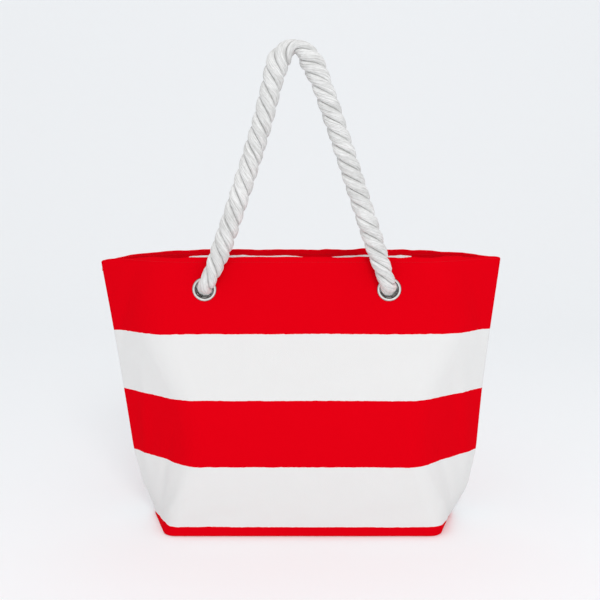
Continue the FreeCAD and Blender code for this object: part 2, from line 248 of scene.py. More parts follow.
def twisted_rope(name, line, seed, thickness=CROWN, squeeze=None):
    """A rope of three strands along a line; squeeze changes its section at each point."""
    ahead, normal, binormal = turning_frames(line)
    run = np.concatenate([[0], np.cumsum(np.linalg.norm(np.diff(line, axis=0), axis=1))])
    twist = -2 * math.pi * run / ROPE_PITCH + uneven(run, seed, 0.5, 0.07)
    sides = 3 * SIDES_PER_STRAND
    turn = np.linspace(0, 2 * math.pi, sides, endpoint=False)
    fat = thickness * ROPE_RADIUS * (1 + uneven(run, seed + 9, 0.035, 0.03))
    to_end = np.minimum(run, run[-1] - run)
    fat *= 1 - THROAT_SQUEEZE * np.exp(-((to_end / THROAT_REACH) ** 4))
    radius = fat[:, None] * strand_section(turn[None, :], run[:, None])
    for index in np.ndindex(radius.shape):
        spot = (run[index[0]] / (4 * MM), 3 * turn[index[1]], seed)
        radius[index] *= 1 + 0.035 * noise.noise(spot)
    angle = turn[None, :] + twist[:, None]
    in_section = np.stack([radius * np.cos(angle), radius * np.sin(angle)], axis=2)
    places = line[:, None, :] + in_section[:, :, :1] * normal[:, None]
    places = places + in_section[:, :, 1:] * binormal[:, None]
    if squeeze is not None:
        places = squeeze(places, line, ahead)
    ends = []
    for end, back in ((0, 1), (-1, -1)):
        for share, proud in ((0.8, 0.12), (0.35, 0.2)):
            ring = line[end] + (places[end] - line[end]) * share - ahead[end] * back * proud * ROPE_RADIUS
            ends.append(ring[None])
    rings = np.concatenate([ends[1], ends[0], places, ends[2], ends[3]])
    faces = [tuple(face) for face in grid_faces(len(rings), sides, closed=True)]
    faces += [tuple(range(sides))[::-1], tuple(range((len(rings) - 1) * sides, len(rings) * sides))]
    mesh = bpy.data.meshes.new(name)
    mesh.from_pydata(rings.reshape(-1, 3).tolist(), [], faces)
    marks = np.concatenate([[run[0]] * 2, run, [run[-1]] * 2])
    # Both halves of the turn count up from a groove, so no seam crosses a strand's crown.
    around = np.minimum(turn, 2 * math.pi - turn) * ROPE_RADIUS
    along = np.broadcast_to(marks[:, None], rings.shape[:2])
    lay_out(mesh, "fibres", np.broadcast_to(around, rings.shape[:2]), along)
    lay_out(mesh, "strand", np.broadcast_to(from_crown(turn), rings.shape[:2]), along)
    return add_object(name, mesh)


# %% [markdown]
# Where the peg pulls the front rope into a peak, the strands splay: the rope is thin between the
# peg and the top, and wide on both shoulders.

# %% Make the two loops
PEAK = np.array([-4.5 * MM, 0, EYELET_Z + 284 * MM])


def splay_at_peak(places, line, ahead):
    """Flattens the rope over the peg and widens it on the two shoulders."""
    away = np.linalg.norm((line - PEAK)[:, [0, 2]], axis=1)
    over_peg = np.exp(-((away / (11 * MM)) ** 2))
    shoulder = np.exp(-(((away - 24 * MM) / (15 * MM)) ** 2))
    up = np.stack([-ahead[:, 2], 0 * away, ahead[:, 0]], axis=1)
    up /= np.linalg.norm(up, axis=1, keepdims=True)
    from_line = places - line[:, None]
    height = np.einsum("ijk,ik->ij", from_line, up)
    grown = 0.14 * shoulder - 0.32 * over_peg
    lifted = places + (height * grown[:, None])[:, :, None] * up[:, None]
    return lifted + (0.30 * ROPE_RADIUS * over_peg)[:, None, None] * np.array([0, 0, 1])


front_loop = twisted_rope("front_rope_loop", front_line, seed=1, squeeze=splay_at_peak)
back_loop = twisted_rope("back_rope_loop", back_line, seed=2)
print("loops", [len(item.data.polygons) for item in (front_loop, back_loop)])

# %% [markdown]
# ## Stopper knots
#
# Inside the bag each rope end is tied in an overhand knot. The rope goes down behind the knot,
# round one side, across the front of itself, down the other side, back under and out over the
# bottom. A closed ring of rope or a ball would not do: the crossings are what the eye knows.
# The knot is pulled flat against the wall, so its rope is a little thinner.

# %% Tie the four knots
KNOT_Y = 23.9 * MM
KNOT_DROP = 20 * MM
OVERHAND = [  # towards the side seam, into the bag, up, from the knot's middle
    (0, -22, 20),
    (-1, -15, 17),
    (-6, -4, 12),
    (-7, 8, 1),
    (-5, 6, -13),
    (4, -8, -23),
    (18, -9, -21),
    (27, -3, -6),
    (25, 3, 14),
    (8, 9, 25),
    (-10, 9, 25),
    (-26, 3, 12),
    (-26, -4, -5),
    (-14, -10, -17),
    (0, -8, -9),
    (7, 4, -6),
    (9, 10, -18),
    (11, 7, -36),
    (12, 0, -52),
    (12, 0, -66),
]


def knot_line(name, side, outward):
    """The line of a knot and its tail, for the left (-1) or right (1) of the front or back."""
    points = [
        (
            side * (EYELET_X + across * MM) + outward * EYELET_SHIFT,
            outward * (KNOT_Y - into * MM),
            EYELET_Z - KNOT_DROP + up * MM,
        )
        for across, into, up in OVERHAND
    ]
    return even_steps(smooth_line(name, points), 1.5 * MM)


corners = [
    (f"{wall}_{hand}", side, outward)
    for wall, outward in (("front", -1), ("back", 1))
    for hand, side in (("left", -1), ("right", 1))
]
knots = {}
for seed, (corner, side, outward) in enumerate(corners, start=20):
    line = knot_line(f"{corner}_knot_line", side, outward)
    knot = twisted_rope(f"{corner}_rope_knot", line, seed, thickness=0.86)
    knots[corner] = knot
    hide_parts(f"{corner}_knot")
    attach(knot, "bag")
print("knots", list(knots))

# %% [markdown]
# A strip of white cloth tape is wrapped round each tail's end, so that the strands don't open.
# It is a thin sleeve, pulled in a little at its middle by the rope's grooves.

# %% Wrap the tails
TAIL_SHIFT = 12 * MM
TAIL_LENGTH = 66 * MM
TAPE_LENGTH = 18 * MM


def turned(name, profile, centre, axis, sides=96, wobble=0.0):
    """A ring turned on a lathe: the profile gives closed (radius, along) points in metres."""
    axis = Vector(axis)
    first = axis.orthogonal().normalized()
    second = axis.cross(first)
    rows = []
    for step in range(sides):
        angle = 2 * math.pi * step / sides
        outward = first * math.cos(angle) + second * math.sin(angle)
        row = []
        for radius, along in profile:
            shake = wobble * noise.noise(outward * 1.4 + axis * (along * 180))
            row.append(Vector(centre) + outward * (radius + shake) + axis * along)
        rows.append(row)
    mesh = bpy.data.meshes.new(name)
    count = len(profile)
    points = [tuple(point) for row in rows for point in row]
    faces = []
    for step in range(sides):
        here, there = step * count, (step + 1) % sides * count
        for spot in range(count):
            after = (spot + 1) % count
            faces.append((here + spot, here + after, there + after, there + spot))
    mesh.from_pydata(points, [], faces)
    radii, alongs = (np.tile([spot[part] for spot in profile], sides) for part in (0, 1))
    lay_out(mesh, "profile", radii, alongs)
    solid = bmesh.new()
    solid.from_mesh(mesh)
    bmesh.ops.recalc_face_normals(solid, faces=solid.faces)
    solid.to_mesh(mesh)
    solid.free()
    return add_object(name, mesh)


tapes = {}
for corner, side, outward in corners:
    outer = 11.2 * MM
    profile = [(outer * 0.9, 0), (outer, 0)]
    profile += [
        (outer - 0.5 * MM * math.sin(math.pi * step / 8), TAPE_LENGTH * step / 8) for step in range(1, 8)
    ]
    profile += [(outer, TAPE_LENGTH), (outer * 0.9, TAPE_LENGTH)]
    foot_x = side * (EYELET_X + TAIL_SHIFT) + outward * EYELET_SHIFT
    foot = (foot_x, outward * KNOT_Y, EYELET_Z - KNOT_DROP - TAIL_LENGTH)
    tape = turned(f"{corner}_end_tape", profile, foot, (0, 0, 1), wobble=0.9 * MM)
    tapes[corner] = tape
    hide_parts(f"{corner}_tape")
    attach(tape, "bag")

# %% [markdown]
# Each loop bends where it comes out of its eyelets. Here each loop is fixed in place, the CAD model's rope
# under it is hidden, and its length from throat to throat is printed.

# %% Fix the ropes in place
for loop, line, outward, wall, lay in (
    (front_loop, front_line, -1, "front", "taut"),
    (back_loop, back_line, 1, "back", "hanging"),
):
    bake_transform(loop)
    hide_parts(f"{wall}_rope")
    length = float(np.linalg.norm(np.diff(line, axis=0), axis=1).sum())
    print(f"{wall} rope: {length:.3f} m from throat to throat")
    outward * EYELET_SHIFT - EYELET_X

# %% [markdown]
# ## The bag's outline
#
# The front is one flat sheet from side seam to side seam. Seen from above it runs straight
# across the middle, turns a soft corner and slants back to the seam. Low down the boxed base
# pushes it out square; towards the rim the seams spread and the bag gets thin. A few stations
# give the outline, and running between them with a smooth curve gives a cloth without kinks.

# %% Work out the outline at any height
BAG_HEIGHT = 350 * MM
BASE_WIDTH = 505 * MM
RIM_WIDTH = 536 * MM
BASE_DEPTH = 152 * MM
MOUTH_DEPTH = 96 * MM
STATIONS = [  # share of the height, seam drawn in, depth; both as shares of the base's depth
    (0.000, 0.740, 1.00),
    (0.035, 0.662, 1.00),
    (0.120, 0.488, 1.00),
    (0.260, 0.378, 1.00),
    (0.400, 0.346, 0.98),
    (0.500, 0.321, 0.92),
    (0.620, 0.284, 0.78),
    (0.750, 0.238, MOUTH_DEPTH / BASE_DEPTH),
    (1.000, 0.145, MOUTH_DEPTH / BASE_DEPTH),
]
FINE = np.linspace(-0.1, 1.1, 601)


def eased(column, width):
    """A station column as a smooth function of the share of height."""
    shares = [station[0] for station in STATIONS]
    values = np.interp(FINE, shares, [station[column] for station in STATIONS])
    reach = np.arange(-60, 61) * (FINE[1] - FINE[0])
    weights = np.exp(-((reach / width) ** 2))
    padded = np.pad(values, 60, mode="edge")
    smooth = np.convolve(padded, weights / weights.sum(), mode="valid")
    return lambda share: np.interp(share, FINE, smooth)


drawn_in_at = eased(1, 0.020)
depth_at = eased(2, 0.045)


def outline(share, inset):
    """The outline at a height: half span, half depth, bend's place and bend's radius."""
    quarter = (BASE_WIDTH + (RIM_WIDTH - BASE_WIDTH) * share) / 2
    half_span = quarter - drawn_in_at(share) * BASE_DEPTH / 2
    half_depth = depth_at(share) * BASE_DEPTH / 2
    bend = (quarter**2 - half_span**2 - half_depth**2) / (2 * (quarter - half_span))
    radius = (16 + 74 * share) * MM
    return half_span - inset, half_depth - inset, bend - inset * 0.6, radius


def across_outline(share, marks, inset=0.0):
    """Points on the front's outline for marks from -1, the left seam, to 1, the right seam."""
    half_span, half_depth, bend, radius = outline(share, inset)
    slant = Vector((half_span - bend, half_depth))
    along = slant.normalized()
    turn = math.atan2(along.y, along.x)
    reach = min(radius * math.tan(turn / 2), slant.length * 0.8)
    radius = reach / math.tan(turn / 2)
    flat = bend - reach
    arc = radius * turn
    total = flat + arc + slant.length - reach
    run = np.abs(marks) * total
    swept = np.clip((run - flat) / radius, 0, turn)
    past = np.maximum(run - flat - arc, 0)
    x = np.minimum(run, flat) + radius * np.sin(swept) + past * along.x
    y = -half_depth + radius * (1 - np.cos(swept)) + past * along.y
    return np.sign(marks) * x, y, np.sign(marks) * run


for share in (0, 0.26, 0.5, 0.75, 1):
    half_span, half_depth, _, _ = outline(share, 0)
    print(f"outline at {share:.2f}: half span {half_span:.3f}, half depth {half_depth:.3f}")

# %% [markdown]
# ## Canvas
#
# Cloth is never quite flat. Long slow waves, a few soft folds that start at the boxed corners,
# and a rim that dips towards its two ends make it cloth. They could come from a cloth
# simulation, but a stiff printed canvas that stands by itself hardly moves, and placed folds
# stay where this bag has them. Each fold is a smooth ridge along a short line.

# %% Waves and folds
SAG_AT_LEFT = 8 * MM
SAG_AT_RIGHT = 4.5 * MM
RIM_WAVE = 2.2 * MM
FOLDS = [  # from (across, up) to (across, up), proud, half width: all in mm on the flat cloth
    (-214, 20, -176, 120, -2.6, 9),
    (-200, 6, -152, 62, 2.2, 8),
    (-232, 60, -216, 190, 2.4, 11),
    (212, 18, 178, 104, -2.6, 10),
    (198, 8, 158, 70, 2.0, 8),
    (236, 70, 214, 200, 2.6, 12),
    (-150, 18, -60, 34, -1.0, 12),
    (60, 22, 168, 40, -1.1, 12),
    (-252, 240, -214, 330, -2.2, 12),
    (250, 236, 216, 326, -2.0, 12),
    (-90, 262, -20, 300, 0.9, 20),
    (20, 262, 96, 298, 1.0, 22),
]


def fold_height(across, up, folds):
    """How far the folds push the cloth out, at places on the flat cloth."""
    total = np.zeros_like(across)
    for x0, z0, x1, z1, proud, width in folds:
        run = np.array([x1 - x0, z1 - z0]) * MM
        share = ((across - x0 * MM) * run[0] + (up - z0 * MM) * run[1]) / (run @ run)
        share = np.clip(share, -0.25, 1.25)
        gap = np.hypot(across - x0 * MM - share * run[0], up - z0 * MM - share * run[1])
        taper = np.clip(1 - np.abs(share - 0.5) / 0.75, 0, 1) ** 0.8
        total += proud * MM * taper * np.exp(-((gap / (width * MM)) ** 2))
    return total


def waves(across, up, seed):
    """Slow random waves in the cloth."""
    height = np.zeros_like(across)
    for size, period in ((1.3, 0.11), (0.45, 0.045)):
        for index in np.ndindex(across.shape):
            place = (across[index] / period, up[index] / period, seed)
            height[index] += size * MM * noise.noise(place)
    return height


def from_eyelets(across, up):
    """How far places on a sheet are from the nearer eyelet's centre."""
    return np.hypot(np.abs(across + EYELET_SHIFT) - EYELET_X, up - EYELET_Z)


def calm_near_eyelets(across, up):
    """0 where an eyelet presses the cloth flat, 1 away from it."""
    near = from_eyelets(across, up)
    return np.clip((near - 18 * MM) / (30 * MM), 0, 1)


# %% [markdown]
# The front and the back are the same sheet, turned round. A sheet starts under the base's edge,
# goes up the outside, folds over at the rim and ends inside as the hem.

# %% Shape a sheet of canvas
COLUMNS = 150
HEM_DROP = 8 * MM
FOLD_RADIUS = 1.5 * MM
CANVAS_THICKNESS = 1.1 * MM
HOLE_RADIUS = 12.2 * MM


def spread_marks(count):
    """Marks from seam to seam, closer together near the seams."""
    even = np.linspace(-1, 1, count)
    return even + 0.045 * np.sin(math.pi * even)


LEAN = [(0, 3), (12, 6.5), (35, 8), (90, 6.5), (173, 4), (257, 2.5), (350, 1)]  # height, to the right


def lean(up):
    """The whole cloth leans a little to the right, most of all just above the base."""
    heights, shifts = zip(*LEAN)
    return np.interp(up / MM, heights, shifts) * MM


def wall_point_rows(levels, marks, inset):
    """Rows of points on a wall, each with its place across the flat cloth."""
    places, across = [], []
    for level in levels:
        x, y, run = across_outline(level / BAG_HEIGHT, marks, inset)
        places.append(np.stack([x, y, np.full_like(x, level)], axis=1))
        across.append(run)
    return np.array(places), np.array(across)


def wall_normals(places):
    """Outward directions of a wall, from its rows of points."""
    normal = np.cross(np.gradient(places, axis=1), np.gradient(places, axis=0))
    return normal / np.linalg.norm(normal, axis=2, keepdims=True)


def settle(places, across, up, folds, seed, outward):
    """Gives a flat-lofted wall its folds, waves, lean and dipping rim."""
    share = np.clip(up / BAG_HEIGHT, 0, 1)
    calm = calm_near_eyelets(across, up)
    ease_at_base = np.clip(up / (14 * MM), 0, 1)
    ease_at_seam = np.clip((np.abs(across).max(axis=1, keepdims=True) - np.abs(across)) / (16 * MM), 0, 1)
    push = (fold_height(across, up, folds) + waves(across, up, seed)) * calm * ease_at_base * ease_at_seam
    places = places + push[:, :, None] * wall_normals(places)
    places[:, :, 0] -= outward * lean(up)
    seam_share = np.abs(across) / (BASE_WIDTH / 2)
    sag = np.where(across * outward > 0, SAG_AT_LEFT, SAG_AT_RIGHT)
    places[:, :, 2] -= sag * np.clip(seam_share, 0, 1.1) ** 5 * share**3
    near_rim = np.clip((share - 0.93) / 0.07, 0, 1)
    for period, size in ((0.034, 1.0), (0.013, 0.35)):
        ragged = np.array([noise.noise((x / period, seed, 4)) for x in across[-1]])
        places[:, :, 2] += near_rim * (ragged * size * RIM_WAVE)[None, :]
    rim_wave = np.array([noise.noise((x / 0.05, seed, 4)) for x in across[-1]])
    near_middle = np.clip((95 * MM - np.abs(across)) / (25 * MM), 0, 1)
    places[:, :, 1] += near_rim * rim_wave[None, :] * 1.8 * MM * near_middle
    return places


def outer_levels():
    """Heights of the rows of a canvas wall, close together at the base."""
    low = np.array([1.4, 2.2, 3.6, 5.5, 8]) * MM
    return np.concatenate([low, np.arange(11, 346, 3.3) * MM, [BAG_HEIGHT - FOLD_RADIUS - 0.6 * MM]])


def canvas_sheet(name, outward, folds, seed):
    """A wall of canvas from under the base to the hem, with holes for its eyelets."""
    marks = spread_marks(2 * COLUMNS + 1)
    levels = outer_levels()
    places, across = wall_point_rows(levels, marks, inset=0.3 * MM)
    up = np.broadcast_to(levels[:, None], across.shape).copy()
    places = settle(places, across, up, folds, seed, outward)
    normal = wall_normals(places)
    # The seam allowance is turned in, so the cloth rounds over into the seam.
    to_seam = np.clip((np.abs(marks) - 0.985) / 0.015, 0, 1)
    places[:, :, 0] -= np.sign(marks) * (to_seam**2 * 1.2 * MM)
    # Under the base: the rows that carry on inward.
    under, under_up = [], []
    for turn_share, drop in ((0.55, 0.75), (1.4, 1.0), (4.0, 1.05)):
        row = places[0] - normal[0] * turn_share * 1.4 * MM
        row[:, 2] = places[0, :, 2] * (1 - drop) + 0.65 * MM * drop
        under.append(row)
        under_up.append(-turn_share * 1.4 * MM)
    # Over the rim and down inside.
    over, over_up = [], []
    inward = -normal[-1]
    top = places[-1]
    for angle in (40, 80, 120, 160, 180):
        turn = math.radians(angle)
        row = top + inward * FOLD_RADIUS * (1 - math.cos(turn))
        row[:, 2] += FOLD_RADIUS * math.sin(turn)
        over.append(row)
        over_up.append(BAG_HEIGHT + FOLD_RADIUS * turn)
    ragged = np.array([noise.noise((x / 0.028, seed + 3, 1)) for x in across[-1]])
    ragged = ragged + 0.7 * np.array([noise.noise((x / 0.009, seed + 5, 1)) for x in across[-1]])
    deeper = 1.3 * MM + 4.5 * MM * np.exp(-(((across[-1] + 20 * MM) / (17 * MM)) ** 2))
    for drop in np.linspace(0.2, 1, 5):
        row = over[4].copy()
        row[:, 2] -= drop * (HEM_DROP + 1.5 * MM * ragged + deeper)
        row += inward * 0.25 * MM * np.sin(drop * 3)
        over.append(row)
        over_up.append(BAG_HEIGHT + (4 + 8 * drop) * MM)
    rows = np.concatenate([under[::-1], places, over])
    heights = np.concatenate([under_up[::-1], levels, over_up])
    across_all = np.concatenate([across[:1]] * 3 + [across] + [across[-1:]] * len(over))
    up_all = np.broadcast_to(heights[:, None], across_all.shape)
    return wall_sheet(name, rows, across_all, up_all, outward, CANVAS_THICKNESS)


def wall_sheet(name, rows, across, up, outward, thickness):
    """Cloth through rows of points, with holes for its eyelets; the back's is turned round."""
    faces = grid_faces(len(rows), rows.shape[1], closed=False)
    points = rows.reshape(-1, 3)
    middle = points[faces].mean(axis=1)
    hole = from_eyelets(middle[:, 0], middle[:, 2]) < HOLE_RADIUS
    if outward == 1:
        points = points * np.array([-1, -1, 1])
    mesh = bpy.data.meshes.new(name)
    mesh.from_pydata(points.tolist(), [], [tuple(face) for face in faces[~hole]])
    lay_out(mesh, "cloth", across, up)
    sheet = add_object(name, mesh)
    thicken(sheet, thickness)
    return sheet


def thicken(item, thickness):
    """Turns a surface into cloth of a thickness, half on each side."""
    solidify = item.modifiers.new("thickness", "SOLIDIFY")
    solidify.thickness = thickness
    solidify.offset = 0
    solidify.use_even_offset = False
    evaluated = item.evaluated_get(bpy.context.evaluated_depsgraph_get())
    mesh = bpy.data.meshes.new_from_object(evaluated)
    item.modifiers.clear()
    item.data = mesh
    # The loose edges left in the holes' corners have no face and are dropped.
    cloth = bmesh.new()
    cloth.from_mesh(mesh)
    stray = [vertex for vertex in cloth.verts if not vertex.link_faces]
    bmesh.ops.delete(cloth, geom=stray, context="VERTS")
    cloth.to_mesh(mesh)
    cloth.free()
    mesh.shade_smooth()


BACK_FOLDS = [(-x0, z0, -x1, z1, proud, width) for x0, z0, x1, z1, proud, width in FOLDS[:7]]
canvas = {}
for wall, outward, folds, seed in (("front", -1, FOLDS, 3.0), ("back", 1, BACK_FOLDS, 8.0)):
    sheet = canvas_sheet(f"{wall}_canvas_sheet", outward, folds, seed)
    canvas[wall] = sheet
    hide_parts(f"{wall}_canvas", f"{wall}_hem")
    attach(sheet, "bag")
    print(sheet.name, len(sheet.data.polygons), "faces")

# %% [markdown]
# ## Lining
#
# The lining is a thinner white cloth that hangs inside the canvas from under the hem. It is
# looser than the canvas, so its creases are sharper and closer together.

# %% Hang the two linings
LINING_FOLDS = [
    (-180, 20, -140, 190, 2.0, 7),
    (-90, 60, -120, 240, -1.6, 6),
    (-30, 30, 10, 180, 1.4, 8),
    (40, 90, 20, 300, -1.5, 7),
    (90, 10, 130, 210, 1.8, 7),
    (190, 30, 150, 200, 1.8, 7),
    (-210, 80, -190, 300, -1.6, 8),
    (200, 90, 190, 290, -1.6, 8),
    (-60, 220, 60, 250, -1.0, 6),
]
LINING_INSET = 2.6 * MM
LINING_TOP = 341.9 * MM
LINING_THICKNESS = 0.4 * MM


def lining_sheet(name, outward, seed):
    """A wall's lining, from the base lining up to under the hem."""
    marks = spread_marks(161)
    levels = np.concatenate([np.arange(4.4, 335, 5.0) * MM, [LINING_TOP]])
    places, across = wall_point_rows(levels, marks, inset=LINING_INSET + 1.4 * MM)
    up = np.broadcast_to(levels[:, None], across.shape).copy()
    places = settle(places, across, up, FOLDS if outward == -1 else BACK_FOLDS, seed, outward)
    slack = np.minimum(fold_height(across, up, LINING_FOLDS), 0.6 * MM) - 0.3 * MM
    tied = np.clip((BAG_HEIGHT - 14 * MM - up) / (30 * MM), 0, 1) * calm_near_eyelets(across, up)
    places += (slack * tied)[:, :, None] * wall_normals(places)
    # The hem is uneven, so the lining's upper edge shows at uneven heights, lowest near the middle.
    for period, size in ((0.03, 1.3), (0.008, 0.7)):
        places[-1, :, 2] += [size * MM * noise.noise((x / period, seed + 7, 2)) for x in across[-1]]
    places[-1, :, 2] -= 4.4 * MM * np.exp(-(((across[-1] + 20 * MM) / (20 * MM)) ** 2))
    return wall_sheet(name, places, across, up, outward, LINING_THICKNESS)


lining = {}
for wall, outward, seed in (("front", -1, 3.0), ("back", 1, 8.0)):
    sheet = lining_sheet(f"{wall}_lining_sheet", outward, seed)
    lining[wall] = sheet
    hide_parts(f"{wall}_lining")
    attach(sheet, "bag")

# %% [markdown]
# ## Base
#
# The base is three flat layers: canvas outside, a stiff board, and lining over the board. Each is
# laid from a grid whose rows run from side seam to side seam inside the base's outline, so all
# three keep the cloth's slight lean and none looks out past the wall.

# %% Lay the base cloths
BASE_ROWS = 49
BASE_COLUMNS = 129


def flat_cloth(name, inset, level, thickness, wave, seed):
    """A flat cloth with the base's outline, drawn in by inset, slightly wavy."""
    x, half_depth, _ = across_outline(0.0, spread_marks(BASE_COLUMNS) * 0.985, inset)
    rows = np.linspace(-1, 1, BASE_ROWS)[:, None]
    x = np.broadcast_to(x + lean(0.0), (BASE_ROWS, BASE_COLUMNS)).copy()
    y = half_depth * rows
    z = np.zeros_like(x)
    for index in np.ndindex(x.shape):
        z[index] = wave * noise.noise((x[index] / 0.04, y[index] / 0.04, seed))
    edge = np.clip((1 - np.abs(rows)) / 0.12, 0, 1)
    places = np.stack([x, y, level + (np.abs(z) * edge)], axis=2)
    mesh = bpy.data.meshes.new(name)
    faces = grid_faces(BASE_ROWS, BASE_COLUMNS, closed=False)[:, ::-1]
    mesh.from_pydata(places.reshape(-1, 3).tolist(), [], [tuple(face) for face in faces])
    lay_out(mesh, "cloth", x, y)
    cloth = add_object(name, mesh)
    thicken(cloth, thickness)
    return cloth


base_canvas = flat_cloth("base_canvas_sheet", 2 * MM, 0.7 * MM, 1.1 * MM, 0.1 * MM, 5)
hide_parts("base_canvas")
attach(base_canvas, "bag")
base_lining = flat_cloth("base_lining_sheet", 3.4 * MM, 4.0 * MM, 0.4 * MM, 1.6 * MM, 6)
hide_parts("base_lining")
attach(base_lining, "bag")
base_board = flat_cloth("base_board_slab", 4 * MM, 2.5 * MM, 2.4 * MM, 0.0, 7)
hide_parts("base_board")
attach(base_board, "bag")
print("base laid")

# %% [markdown]
# ## Eyelets
#
# An eyelet is pressed from one sheet of metal: a rolled flange outside, a barrel through the
# cloth, and a washer behind that the barrel's end is curled over. Both rings are turned from a
# profile, because their whole look is in the roll of the edge that catches the light.

# %% Turn the eyelets and their washers
FLANGE = [  # radius, outward from the wall's outer face
    (11.2, -3.4),
    (11.2, 0.2),
    (11.35, 0.9),
    (11.8, 1.45),
    (12.5, 1.6),
    (13.4, 1.5),
    (14.3, 1.15),
    (14.85, 0.6),
    (15.0, 0.15),
    (14.8, 0.0),
    (12.0, -0.1),
    (12.0, -3.4),
    (11.6, -3.6),
]
WASHER = [
    (11.6, -3.7),
    (12.3, -3.95),
    (13.2, -3.7),
    (14.4, -3.0),
    (15.0, -2.4),
    (14.9, -2.0),
    (12.2, -2.0),
]


def smooth_profile(profile, rounds=2):
    """Cuts a closed profile's corners, so that its roll is round."""
    points = np.array(profile) * MM
    for _ in range(rounds):
        following = np.roll(points, -1, axis=0)
        cut = np.stack([points * 0.8 + following * 0.2, points * 0.2 + following * 0.8], axis=1)
        points = cut.reshape(-1, 2)
    return [tuple(point) for point in points]


rings = []
for corner, side, outward in corners:
    centre = (side * EYELET_X + outward * EYELET_SHIFT, outward * RIM_Y, EYELET_Z)
    for part, profile in (("eyelet", FLANGE), ("washer", WASHER)):
        ring = turned(f"{corner}_{part}_ring", smooth_profile(profile), centre, (0, outward, 0), sides=128)
        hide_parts(f"{corner}_{part}")
        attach(ring, "bag")
        rings.append(ring)
print(len(rings), "rings")

# %% [markdown]
# ## Sewing
#
# A row of stitches runs along the rim and holds the hem. Each stitch is a short bar of thread
# that dips into the cloth at both ends. Painting them would lose them in a slanting light.

# %% Sew the hems
STITCH_PITCH = 3.4 * MM
STITCH_DROP = 6.4 * MM


def stitch_row(name, sheet, outward):
    """Red stitches along the rim, outside and inside, laid on the sheet itself."""
    inside = sheet.matrix_world.inverted()
    bm = bmesh.new()
    for face_side in (1, -1):
        previous = None
        for step in range(2 * 74 + 1):
            x = (step - 74) * STITCH_PITCH
            start = Vector((x, outward * (0.12 if face_side == 1 else 0.0), BAG_HEIGHT - STITCH_DROP))
            way = Vector((0, -outward * face_side, 0))
            hit, spot, _, _ = sheet.ray_cast(inside @ start, way)
            if hit and previous is not None and (spot - previous).length < 2 * STITCH_PITCH:
                add_stitch(bm, previous, spot, -way)
            previous = spot if hit else None
    mesh = bpy.data.meshes.new(name)
    bm.to_mesh(mesh)
    bm.free()
    return add_object(name, mesh)


def add_stitch(bm, start, end, outward):
    """One bar of thread from a needle hole to the next, bowed off the cloth."""
    along = (end - start).normalized()
    beside = along.cross(outward)
    rings = []
    for share, rise, girth in ((0.1, -0.25, 0.2), (0.3, 0.12, 0.34), (0.7, 0.12, 0.34), (0.9, -0.25, 0.2)):
        middle = start.lerp(end, share) + outward * rise * MM
        ring = []
        for corner_step in range(6):
            angle = math.pi * corner_step / 3
            offset = beside * math.cos(angle) + outward * math.sin(angle)
            ring.append(bm.verts.new(middle + offset * girth * MM))
        rings.append(ring)
    for low, high in zip(rings, rings[1:]):
        for spot in range(6):
            after = (spot + 1) % 6
            bm.faces.new((low[spot], low[after], high[after], high[spot]))
    bm.faces.new(rings[0][::-1])
    bm.faces.new(rings[-1])


stitches = {}
for wall, outward in (("front", -1), ("back", 1)):
    row = stitch_row(f"{wall}_hem_stitches", canvas[wall], outward)
    stitches[wall] = row
    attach(row, "bag")
    print(row.name, len(row.data.polygons), "faces")

# %% [markdown]
# ## Finishes
#
# Every finish is worked out from the material's own layout, never from the camera. Numbers that
# vary over a surface are written as plain sums: a small class wraps a socket, and each operator
# adds the Math node that does it.

# %% Write shader maths as sums
class Signal:
    """A number that varies over a surface, wrapped round a node's output socket."""

    def __init__(self, finish, socket):
        self.finish = finish
        self.socket = socket

    def combine(self, operation, first, second):
        """A Math node on two values, given as signals or numbers."""
        return self.finish.add("ShaderNodeMath", {"operation": operation}, {0: first, 1: second})

    def __add__(self, other):
        return self.combine("ADD", self, other)

    def __sub__(self, other):
        return self.combine("SUBTRACT", self, other)

    def __mul__(self, other):
        return self.combine("MULTIPLY", self, other)

    def __truediv__(self, other):
        return self.combine("DIVIDE", self, other)

    def __radd__(self, other):
        return self.combine("ADD", other, self)

    def __rsub__(self, other):
        return self.combine("SUBTRACT", other, self)

    def __rmul__(self, other):
        return self.combine("MULTIPLY", other, self)

    def wave(self):
        """Its sine."""
        return self.combine("SINE", self, 0.0)

    def size(self):
        """Its distance from zero."""
        return self.combine("ABSOLUTE", self, 0.0)

    def above(self, limit):
        """1 where it is more than a limit."""
        return self.combine("GREATER_THAN", self, limit)

    def ramp(self, low, high):
        """0 below low, 1 above high, and an even rise between."""
        sockets = {"Value": self, "From Min": low, "From Max": high}
        return self.finish.add("ShaderNodeMapRange", {"clamp": True}, sockets)


